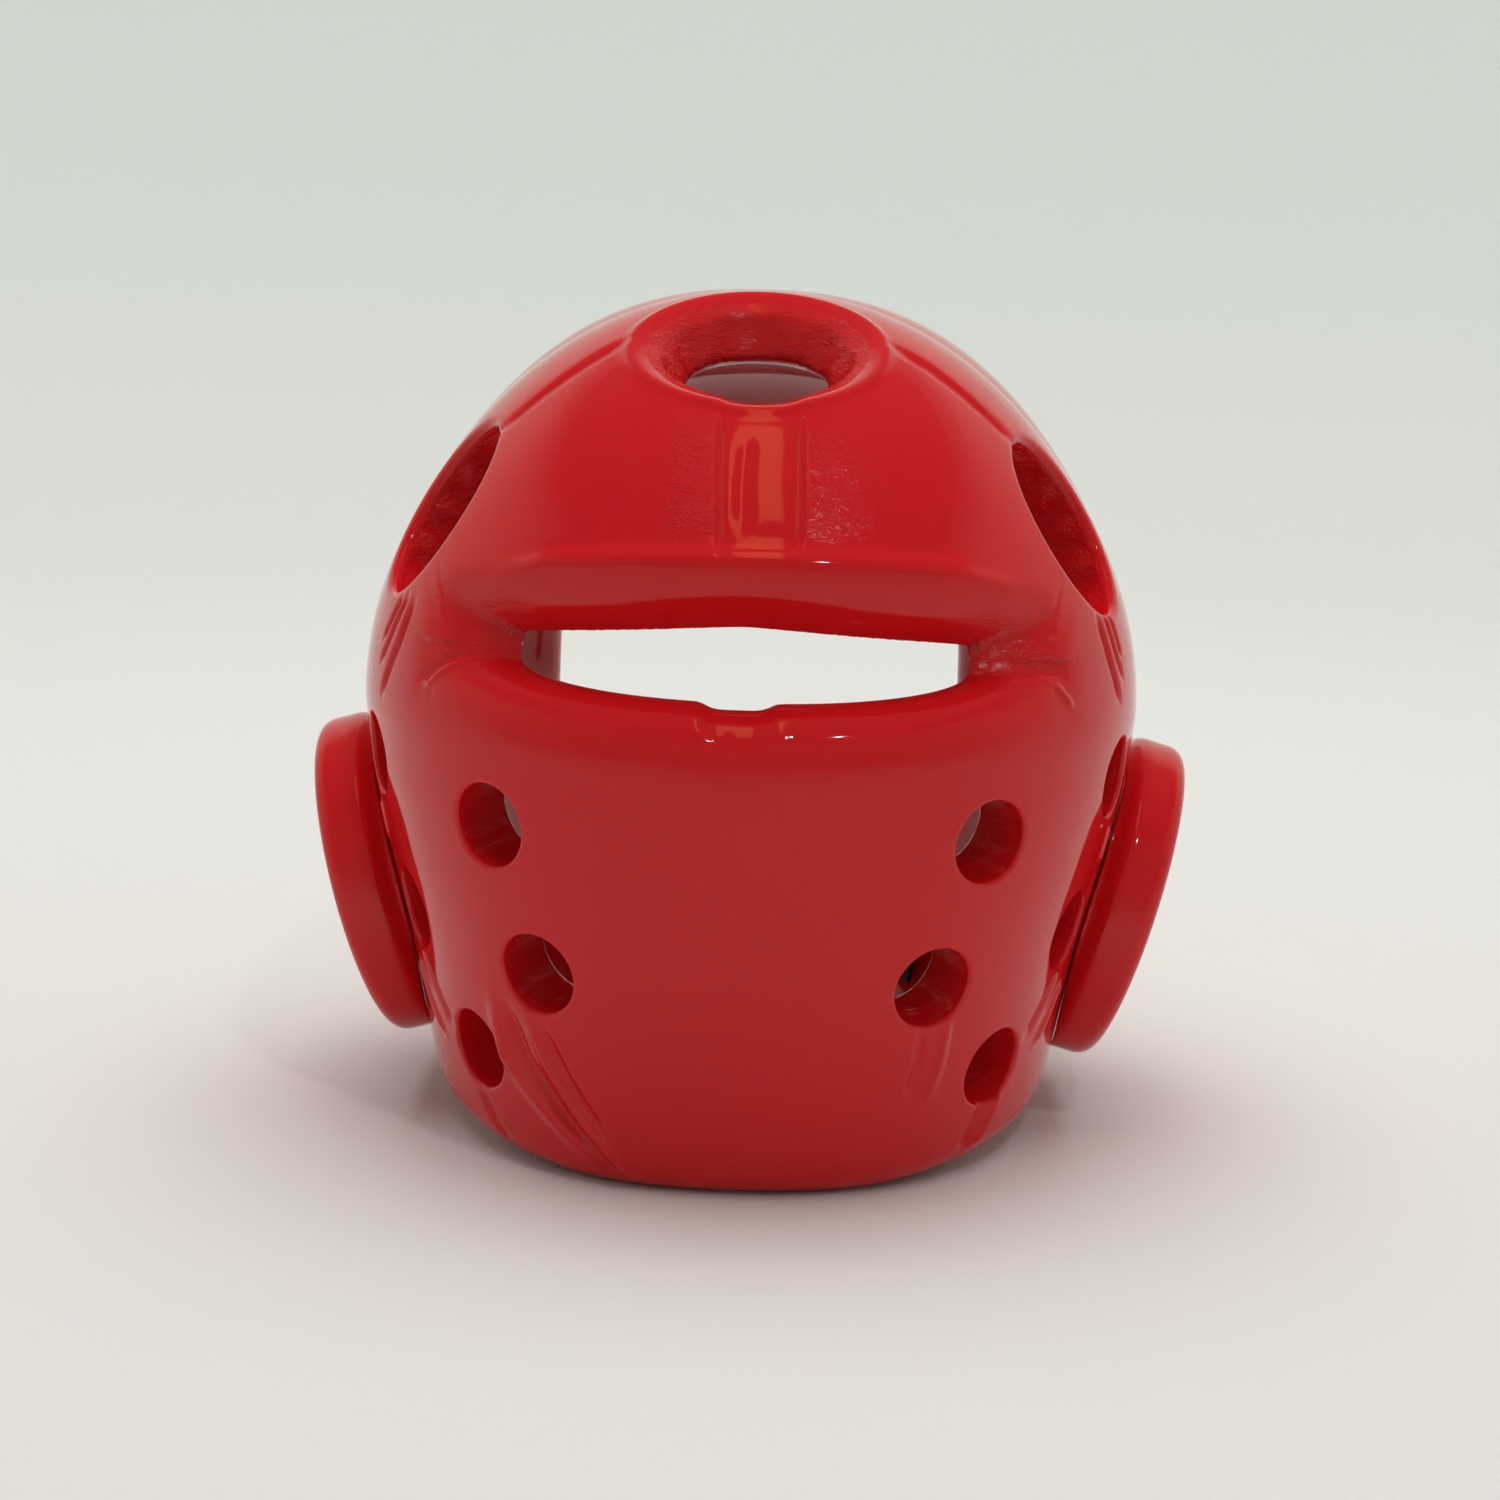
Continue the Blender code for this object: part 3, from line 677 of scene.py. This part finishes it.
def shell_wrinkles(points):
    """Wrinkled zones: the flanks of the spine, the walls of the funnel and vents, and the slot's corners."""
    x, y, z = split(points)
    skin = skin_distance(points)
    behind = (y < 0) & (skin > -0.003)
    flanks = 0.8 * spread(x, -0.021, -0.009, 0.004) + 0.5 * spread(x, 0.016, 0.032, 0.006)
    amount = flanks * behind * spread(z, 0.176, 0.206, 0.006)
    crown = spread(np.abs(crown_distance(points)), -0.001, 0.0015, 0.001) * (skin < -0.002)
    amount = np.maximum(amount, crown * np.clip(np.abs(x) / 0.012, 0.25, 1.0))
    for _, side in SIDES:
        vent = spread(np.abs(vent_distance(points, side)), -0.001, 0.0015, 0.001) * (skin < -0.003)
        amount = np.maximum(amount, 0.8 * vent)
        for azimuth, height in ((42.0, 0.615), (38.0, 0.640)):
            away = np.linalg.norm(points - skin_place(side * azimuth, height * SHELL_HEIGHT), axis=1)
            amount = np.maximum(amount, np.exp(-((away / 0.010) ** 2)))
    for place, normal in NAPE_FRAMES:
        along, aside = along_and_aside(points, place, normal)
        walls = (np.abs(aside - NAPE_HOLE_RADIUS) < 0.001) & (along < -0.003) & (along > -0.03)
        amount = np.maximum(amount, 0.35 * walls)
    return amount


def cup_wrinkles(points, side):
    along, aside = along_and_aside(points, *CUP_FRAMES[side])
    wall = (aside > CUP_RADIUS - 0.004) & (along > 0.004)
    return 0.2 * wall * spread(points[:, 2], 0.062, 0.088, 0.014) * spread(along, 0.006, CUP_THICKNESS - 0.005, 0.004)


def band_point(azimuth, height, offset):
    """Point of the lower wall's section at an azimuth and height, moved out by an offset."""
    share = height / WIDEST
    angle = math.radians(azimuth)
    half_width = SHELL_WIDTH / 2 * float(WIDTH_SHARE(share)) + offset
    reach = SHELL_DEPTH / 2 * float(FACE_SHARE(share)) + offset
    across = half_width * signed_power(math.sin(angle), 2 / PLAN_POWER)
    along = -reach * signed_power(math.cos(angle), 2 / PLAN_POWER)
    return Vector((across, along + NAPE_SHIFT, height))


def band_grid(name, spread_angle, offset, width, columns, rows, ripple):
    """Ribbed sheet that follows the inner wall round the chin, with its own length and width kept in metres."""
    bpy.ops.object.select_all(action="DESELECT")
    bpy.ops.mesh.primitive_grid_add(x_subdivisions=columns, y_subdivisions=rows, size=1.0)
    piece = bpy.context.object
    piece.name = name
    mesh = piece.data
    length = 2 * math.radians(spread_angle) * SHELL_DEPTH / 2 * 0.8
    places = mesh.attributes.new("weave", "FLOAT_VECTOR", "POINT")
    for vertex, place in zip(mesh.vertices, places.data):
        along, across = vertex.co.x, vertex.co.y
        place.vector = (along * length, across * width, 0.0)
        rib = ripple * math.cos(across * width * 2 * math.pi / 0.0021)
        vertex.co = band_point(180.0 + 2 * along * spread_angle, STRAP_HEIGHT + across * width, offset + rib)
    return piece


def thicken(piece, thickness, rounding):
    """Turns a sheet into a closed band with rounded edges."""
    solidify = piece.modifiers.new("thickness", "SOLIDIFY")
    solidify.thickness = thickness
    solidify.offset = 0.0
    solidify.use_even_offset = True
    bevel = piece.modifiers.new("rounded edges", "BEVEL")
    bevel.width = rounding
    bevel.segments = 2
    bevel.limit_method = "ANGLE"
    bevel.angle_limit = math.radians(50.0)
    apply_modifiers(piece)
    only(piece)
    bpy.ops.object.mode_set(mode="EDIT")
    bpy.ops.mesh.select_all(action="SELECT")
    bpy.ops.mesh.normals_make_consistent(inside=False)
    bpy.ops.object.mode_set(mode="OBJECT")
    piece.data.shade_smooth()


def chin_strap():
    """Ribbed elastic band from cheek to cheek."""
    offset = -WALL - SEAT_GAP - STRAP_THICKNESS / 2 - 0.0002
    piece = band_grid("elastic_chin_strap", STRAP_SPREAD, offset, STRAP_WIDTH, 150, 72, 0.00012)
    thicken(piece, STRAP_THICKNESS - 0.0004, 0.0006)
    return piece


def strap_tab():
    """Hook tape that closes the band over the chin."""
    seat = -WALL - SEAT_GAP
    reach = abs(band_point(180.0, STRAP_HEIGHT, seat)[1] - NAPE_SHIFT)
    spread_angle = math.degrees(TAB_LENGTH / 2 / reach)
    offset = seat + SEAT_GAP / 2 + TAB_THICKNESS / 2
    piece = band_grid("hook_tape_tab", spread_angle, offset, STRAP_WIDTH - 0.0006, 40, 24, 0.0)
    thicken(piece, TAB_THICKNESS - 0.0004, 0.0005)
    return piece


def stitches():
    """Rows of thread where the band is sewn to the cheeks."""
    seat = -WALL - SEAT_GAP - STRAP_THICKNESS - 0.00005
    made = []
    for azimuth in (180.0 - STRAP_SPREAD + 2.0, 180.0 - STRAP_SPREAD + 6.5,
                    180.0 + STRAP_SPREAD - 6.5, 180.0 + STRAP_SPREAD - 2.0):
        for index in range(8):
            height = STRAP_HEIGHT + STRAP_WIDTH * (index + 0.5 - 4.0) / 9.0
            bpy.ops.object.select_all(action="DESELECT")
            bpy.ops.mesh.primitive_uv_sphere_add(segments=10, ring_count=6, radius=1.0)
            stitch = bpy.context.object
            place = Matrix.Translation(band_point(azimuth, height, seat))
            stitch.data.transform(place @ Matrix.Diagonal((0.00035, 0.00035, 0.0011, 1.0)))
            made.append(stitch)
    only(made[0])
    for stitch in made:
        stitch.select_set(True)
    bpy.ops.object.join()
    piece = bpy.context.object
    piece.name = "strap_stitches"
    piece.data.shade_smooth()
    return piece


def node_group(name, inputs, outputs):
    """Empty shader group with its sockets, and its two end nodes."""
    tree = bpy.data.node_groups.new(name, "ShaderNodeTree")
    for socket, kind, value in inputs:
        made = tree.interface.new_socket(name=socket, in_out="INPUT", socket_type=kind)
        if value is not None:
            made.default_value = value
    for socket, kind in outputs:
        tree.interface.new_socket(name=socket, in_out="OUTPUT", socket_type=kind)
    return tree, tree.nodes.new("NodeGroupInput"), tree.nodes.new("NodeGroupOutput")


def math_node(tree, operation, first, second):
    """Math node whose two inputs are sockets or numbers."""
    node = tree.nodes.new("ShaderNodeMath")
    node.operation = operation
    for index, value in enumerate((first, second)):
        if isinstance(value, (int, float)):
            node.inputs[index].default_value = value
        else:
            tree.links.new(value, node.inputs[index])
    return node.outputs[0]


def noise_node(tree, vector, scale, detail=2.0, distortion=0.0):
    """Noise centred on zero."""
    node = tree.nodes.new("ShaderNodeTexNoise")
    node.inputs["Scale"].default_value = scale
    node.inputs["Detail"].default_value = detail
    node.inputs["Distortion"].default_value = distortion
    tree.links.new(vector, node.inputs["Vector"])
    return math_node(tree, "SUBTRACT", node.outputs["Fac"], 0.5)


def stretched(tree, vector, scale):
    node = tree.nodes.new("ShaderNodeMapping")
    node.inputs["Scale"].default_value = scale
    tree.links.new(vector, node.inputs["Vector"])
    return node.outputs["Vector"]


def vinyl_relief_group():
    """Relief of dipped vinyl in metres: slow sags, fine orange peel, and crinkles where the mask asks for them."""
    tree, start, end = node_group(
        "vinyl relief",
        (("Place", "NodeSocketVector", None), ("Wrinkled", "NodeSocketFloat", 0.0)),
        (("Height", "NodeSocketFloat"), ("Tone", "NodeSocketFloat")),
    )
    place = start.outputs["Place"]
    sag = math_node(tree, "MULTIPLY", noise_node(tree, place, 26.0), 0.00022)
    peel = math_node(tree, "MULTIPLY", noise_node(tree, place, 210.0), 0.000008)
    crinkle = noise_node(tree, stretched(tree, place, (1.0, 1.0, 2.6)), 230.0, 3.0, 1.4)
    ridges = math_node(tree, "ABSOLUTE", crinkle, 0.0)
    crinkles = math_node(tree, "MULTIPLY", math_node(tree, "MULTIPLY", ridges, start.outputs["Wrinkled"]), 0.0011)
    height = math_node(tree, "ADD", math_node(tree, "ADD", sag, peel), crinkles)
    tree.links.new(height, end.inputs["Height"])
    tone = math_node(tree, "ADD", math_node(tree, "MULTIPLY", noise_node(tree, place, 14.0, 3.0), 0.10), 0.97)
    tree.links.new(tone, end.inputs["Tone"])
    return tree


def weave_relief_group():
    """Relief of a woven tape in metres, from its own length and width, and a mask of its raised yarns that the tape's
    colour follows: painted highlight on the yarns, painted shade in the gaps between them.
    """
    tree, start, end = node_group(
        "weave relief",
        (("Place", "NodeSocketVector", None), ("Pitch", "NodeSocketFloat", 0.001)),
        (("Height", "NodeSocketFloat"), ("painted_yarn_shading", "NodeSocketFloat")),
    )
    parts = tree.nodes.new("ShaderNodeSeparateXYZ")
    tree.links.new(start.outputs["Place"], parts.inputs["Vector"])
    turns = math_node(tree, "DIVIDE", 2 * math.pi, start.outputs["Pitch"])
    waves = [math_node(tree, "SINE", math_node(tree, "MULTIPLY", parts.outputs[axis], turns), 0.0)
             for axis in ("X", "Y")]
    yarn = math_node(tree, "MULTIPLY", math_node(tree, "ADD", math_node(tree, "MULTIPLY", *waves), 1.0), 0.5)
    fuzz = math_node(tree, "MULTIPLY", noise_node(tree, start.outputs["Place"], 2600.0), 0.00006)
    height = math_node(tree, "ADD", math_node(tree, "MULTIPLY", yarn, 0.00022), fuzz)
    tree.links.new(height, end.inputs["Height"])
    tree.links.new(yarn, end.inputs["painted_yarn_shading"])
    return tree


def fresh_material(name):
    material = bpy.data.materials.new(name)
    material.use_nodes = True
    tree = material.node_tree
    return material, tree, tree.nodes["Principled BSDF"]


def group_node(tree, group):
    node = tree.nodes.new("ShaderNodeGroup")
    node.node_tree = group
    return node


def attribute_node(tree, name):
    node = tree.nodes.new("ShaderNodeAttribute")
    node.attribute_name = name
    return node


def bump_from(tree, height, shader):
    bump = tree.nodes.new("ShaderNodeBump")
    bump.inputs["Distance"].default_value = 1.0
    tree.links.new(height, bump.inputs["Height"])
    tree.links.new(bump.outputs["Normal"], shader.inputs["Normal"])


def two_tones(tree, share, dark, light, shader):
    mix = tree.nodes.new("ShaderNodeMix")
    mix.data_type = "RGBA"
    mix.inputs["A"].default_value = (*dark, 1.0)
    mix.inputs["B"].default_value = (*light, 1.0)
    tree.links.new(share, mix.inputs["Factor"])
    tree.links.new(mix.outputs["Result"], shader.inputs["Base Color"])


def vinyl_material(relief):
    """Glossy red dipped vinyl, slightly uneven in colour and gloss, crinkled where the skin is marked so."""
    material, tree, shader = fresh_material("dipped_vinyl")
    shader.inputs["Specular IOR Level"].default_value = 0.33
    place = tree.nodes.new("ShaderNodeTexCoord").outputs["Object"]
    wrinkled = attribute_node(tree, "wrinkled").outputs["Fac"]
    group = group_node(tree, relief)
    tree.links.new(place, group.inputs["Place"])
    tree.links.new(wrinkled, group.inputs["Wrinkled"])
    bump_from(tree, group.outputs["Height"], shader)
    share = math_node(tree, "MULTIPLY", math_node(tree, "SUBTRACT", group.outputs["Tone"], 0.92), 10.0)
    two_tones(tree, share, (0.590, 0.0060, 0.0090), (0.660, 0.0080, 0.0110), shader)
    rough = math_node(tree, "ADD", math_node(tree, "MULTIPLY", wrinkled, 0.08), 0.065)
    tree.links.new(rough, shader.inputs["Roughness"])
    return material


def woven_material(name, weave, pitch, dark, light, roughness):
    """Black woven tape with raised yarns and a dull sheen, its raised yarns painted lighter as painted highlight and
    the gaps between them darker as painted shade.
    """
    material, tree, shader = fresh_material(name)
    shader.inputs["Roughness"].default_value = roughness
    shader.inputs["Sheen Weight"].default_value = 0.25
    shader.inputs["Specular IOR Level"].default_value = 0.3
    group = group_node(tree, weave)
    group.inputs["Pitch"].default_value = pitch
    tree.links.new(attribute_node(tree, "weave").outputs["Vector"], group.inputs["Place"])
    bump_from(tree, group.outputs["Height"], shader)
    # Painted highlight on the raised yarns and painted shade in the gaps between them: the colour follows the weave's
    # relief.
    two_tones(tree, group.outputs["painted_yarn_shading"], dark, light, shader)
    return material


def thread_material():
    material, tree, shader = fresh_material("sewing_thread")
    shader.inputs["Roughness"].default_value = 0.7
    place = tree.nodes.new("ShaderNodeTexCoord").outputs["Object"]
    strands = noise_node(tree, stretched(tree, place, (1.0, 1.0, 0.3)), 3000.0)
    bump_from(tree, math_node(tree, "MULTIPLY", strands, 0.0001), shader)
    two_tones(tree, math_node(tree, "ADD", strands, 0.5), (0.02, 0.02, 0.02), (0.06, 0.06, 0.06), shader)
    return material


def dress(piece, material, slot, *nodes):
    piece.data.materials.clear()
    piece.data.materials.append(material)
    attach(piece, "root")
    if nodes:
        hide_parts(*nodes)


# Camera, at the photograph's angle to the nape
CAMERA_AIM = Vector((0.0, 0.0, 0.104))
CAMERA_DISTANCE = 0.85
CAMERA_ELEVATION = 10.0
CAMERA_AZIMUTH = 1.3
CAMERA_ROLL = 1.7
CAMERA_LENS = 69.77


def photograph_camera():
    camera = bpy.data.objects.new("camera", bpy.data.cameras.new("camera"))
    bpy.context.scene.collection.objects.link(camera)
    bpy.context.scene.camera = camera
    camera.data.lens = CAMERA_LENS
    camera.data.sensor_width = 36.0
    rise, turn = math.radians(CAMERA_ELEVATION), math.radians(CAMERA_AZIMUTH)
    back = Vector((math.sin(turn) * math.cos(rise), -math.cos(turn) * math.cos(rise), math.sin(rise)))
    look = back.to_track_quat("Z", "Y").to_matrix().to_4x4()
    roll = Matrix.Rotation(math.radians(CAMERA_ROLL), 4, "Z")
    camera.matrix_world = Matrix.Translation(CAMERA_AIM + back * CAMERA_DISTANCE) @ look @ roll


# Studio bowl: radius and height of its profile, from the table's middle to the top of its wall
BOWL_FLAT = 1.3
BOWL_CURVE = 0.9
BOWL_TOP = 2.4


def studio_bowl():
    """Seamless pale table that curves up into a wall all round, with the wall painted darker towards -Y, the camera's
    side, as painted shade.
    """
    profile = [(0.0, 0.0), (0.3, 0.0), (0.7, 0.0), (BOWL_FLAT, 0.0)]
    for step in range(1, 17):
        angle = math.pi / 2 * step / 16
        profile.append((BOWL_FLAT + BOWL_CURVE * math.sin(angle), BOWL_CURVE * (1 - math.cos(angle))))
    profile.append((BOWL_FLAT + BOWL_CURVE, BOWL_TOP))
    count = 96
    turns = [2 * math.pi * index / count for index in range(count)]
    points = [(radius * math.cos(turn), radius * math.sin(turn), height) for radius, height in profile for turn in turns]
    faces = []
    for ring in range(len(profile) - 1):
        for index in range(count):
            after = (index + 1) % count
            low, high = ring * count, (ring + 1) * count
            faces.append((low + index, low + after, high + after, high + index))
    mesh = bpy.data.meshes.new("studio bowl")
    mesh.from_pydata(points, [], faces)
    mesh.shade_smooth()
    bowl = bpy.data.objects.new("studio_bowl", mesh)
    bpy.context.scene.collection.objects.link(bowl)
    material, tree, shader = fresh_material("studio_paper")
    shader.inputs["Roughness"].default_value = 0.85
    shader.inputs["Specular IOR Level"].default_value = 0.1
    parts = tree.nodes.new("ShaderNodeSeparateXYZ")
    tree.links.new(tree.nodes.new("ShaderNodeTexCoord").outputs["Object"], parts.inputs["Vector"])
    # Painted shade: the wall's colour darkens towards -Y, the camera's side, standing in for the dim room there.
    camera_side_shade = tree.nodes.new("ShaderNodeMapRange")
    camera_side_shade.interpolation_type = "SMOOTHSTEP"
    camera_side_shade.inputs["From Min"].default_value = 0.2
    camera_side_shade.inputs["From Max"].default_value = -1.9
    tree.links.new(parts.outputs["Y"], camera_side_shade.inputs["Value"])
    height = tree.nodes.new("ShaderNodeMapRange")
    height.interpolation_type = "SMOOTHSTEP"
    height.inputs["From Min"].default_value = 0.0
    height.inputs["From Max"].default_value = 0.35
    tree.links.new(parts.outputs["Z"], height.inputs["Value"])
    wall = tree.nodes.new("ShaderNodeMix")
    wall.data_type = "RGBA"
    wall.inputs["A"].default_value = (0.74, 0.79, 0.75, 1.0)
    # Dark grey of the painted shade on the camera's side of the wall.
    wall.inputs["B"].default_value = (0.40, 0.42, 0.41, 1.0)
    tree.links.new(camera_side_shade.outputs["Result"], wall.inputs["Factor"])
    mix = tree.nodes.new("ShaderNodeMix")
    mix.data_type = "RGBA"
    mix.inputs["A"].default_value = (0.80, 0.785, 0.775, 1.0)
    tree.links.new(wall.outputs["Result"], mix.inputs["B"])
    tree.links.new(height.outputs["Result"], mix.inputs["Factor"])
    tree.links.new(mix.outputs["Result"], shader.inputs["Base Color"])
    mesh.materials.append(material)


def lamp(name, place, aim, size, depth, energy, colour, mirrored):
    """Soft rectangular lamp that points at a place. A lamp that isn't mirrored leaves no glare on the vinyl."""
    made = bpy.data.objects.new(name, bpy.data.lights.new(name, "AREA"))
    bpy.context.scene.collection.objects.link(made)
    made.data.shape = "RECTANGLE"
    made.data.size = size
    made.data.size_y = depth
    made.data.energy = energy
    made.data.color = colour
    made.location = place
    made.rotation_euler = (Vector(place) - Vector(aim)).to_track_quat("Z", "Y").to_euler()
    made.visible_glossy = mirrored


def room_light():
    world = bpy.data.worlds.new("pale room")
    bpy.context.scene.world = world
    world.use_nodes = True
    background = world.node_tree.nodes["Background"]
    background.inputs["Color"].default_value = (0.90, 0.95, 0.93, 1.0)
    background.inputs["Strength"].default_value = 0.22
    middle = (0.0, 0.0, 0.1)
    lamp("overhead softbox", (0.0, 0.25, 2.3), middle, 2.6, 2.2, 40.0, (1.0, 0.99, 0.97), False)
    lamp("backdrop wash", (0.0, 0.3, 2.2), (0.0, 2.0, 0.6), 2.4, 0.6, 5.0, (0.95, 1.0, 0.97), False)
    lamp("warm ceiling panel", (0.02, -0.45, 1.70), (0.0, -0.1, 0.2), 0.20, 0.70, 1.1, (1.0, 0.40, 0.16), True)
    lamp("small bright lamp", (0.47, -1.15, 1.56), (0.0, -0.1, 0.15), 0.09, 0.045, 2.4, (1.0, 1.0, 1.0), True)


bpy.context.scene.view_settings.view_transform = "Standard"
photograph_camera()
studio_bowl()
room_light()

vinyl = vinyl_material(vinyl_relief_group())
weave = weave_relief_group()
shell = padded_piece("padded_shell", "shell", shell_form, SKIN_VOXEL, near_crisp_edges, 2)
mark_wrinkles(shell, shell_wrinkles(read_points(shell.data)))
dress(shell, vinyl, "dipped_foam", "shell")
for cup_name, cup_side in SIDES:
    cup = padded_piece("padded_ear_cup_" + cup_name, "ear_cup_" + cup_name,
                       lambda points, side=cup_side: cup_form(points, side), CUP_VOXEL,
                       lambda points, side=cup_side: near_cup_edges(points, side), 1)
    mark_wrinkles(cup, cup_wrinkles(read_points(cup.data), cup_side))
    dress(cup, vinyl, "dipped_foam", "ear_cup_" + cup_name)
# Each tape's darker colour is its black with painted shade in the gaps, and its lighter one is a painted highlight on
# the raised yarns.
elastic = woven_material("elastic_webbing", weave, 0.0011, (0.006, 0.006, 0.007), (0.030, 0.030, 0.033), 0.75)
hooks = woven_material("hook_tape", weave, 0.0006, (0.003, 0.003, 0.003), (0.040, 0.040, 0.042), 0.9)
dress(chin_strap(), elastic, "elastic_webbing", "chin_strap")
dress(strap_tab(), hooks, "hook_tape", "strap_tab")
dress(stitches(), thread_material(), "elastic_webbing")
